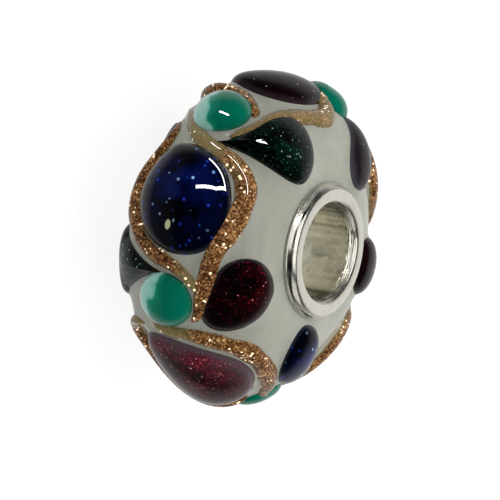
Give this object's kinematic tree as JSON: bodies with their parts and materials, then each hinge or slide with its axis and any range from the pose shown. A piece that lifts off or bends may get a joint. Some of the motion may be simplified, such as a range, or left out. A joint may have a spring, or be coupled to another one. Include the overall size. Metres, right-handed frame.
{
  "type": "european charm bead",
  "caption": "Round wound-glass slide-on bracelet bead with raised coloured domes, dots, drops and goldstone trails on a flanged silver core.",
  "frame": {"origin": "middle of the bore's axis, half way along the bore", "axes": "+Z along the bore towards the side whose drops face the camera; the bead lies on its other collar, so the floor is at the lower collar's crest"},
  "size_m": [0.0154, 0.0153, 0.0086],
  "materials": {
    "pale_glass": "opaque warm grey-white lampwork glass, fire polished",
    "silver": "polished sterling silver with fine lines along the bore",
    "blue_glass": "navy glass over blue glitter, clear cased, fire polished",
    "wine_glass": "wine red glass over fine glitter, clear cased, fire polished",
    "green_glass": "bottle green glass over green glitter, fire polished",
    "garnet_glass": "garnet glass with a little red glitter, fire polished",
    "violet_glass": "smoky violet glass, fire polished",
    "turquoise_glass": "opaque turquoise glass with pale mint swirls",
    "goldstone": "goldstone glass full of copper flakes under clear glass"
  },
  "bodies": {
    "root": {"dome_1": "blue_glass", "dome_2": "wine_glass", "dome_3": "blue_glass", "dome_4": "violet_glass", "dome_5": "wine_glass", "dot_1": "turquoise_glass", "dot_2": "turquoise_glass", "dot_3": "turquoise_glass", "dot_4": "turquoise_glass", "dot_5": "turquoise_glass", "drop_back_1": "garnet_glass", "drop_back_2": "green_glass", "drop_back_3": "violet_glass", "drop_back_4": "blue_glass", "drop_back_5": "green_glass", "drop_front_1": "green_glass", "drop_front_2": "garnet_glass", "drop_front_3": "blue_glass", "drop_front_4": "garnet_glass", "drop_front_5": "violet_glass", "glass_body": "pale_glass", "goldstone_back_1": "goldstone", "goldstone_back_2": "goldstone", "goldstone_back_3": "goldstone", "goldstone_back_4": "goldstone", "goldstone_back_5": "goldstone", "goldstone_front_1": "goldstone", "goldstone_front_2": "goldstone", "goldstone_front_3": "goldstone", "goldstone_front_4": "goldstone", "goldstone_front_5": "goldstone", "silver_core": "silver"}
  },
  "joints": []
}
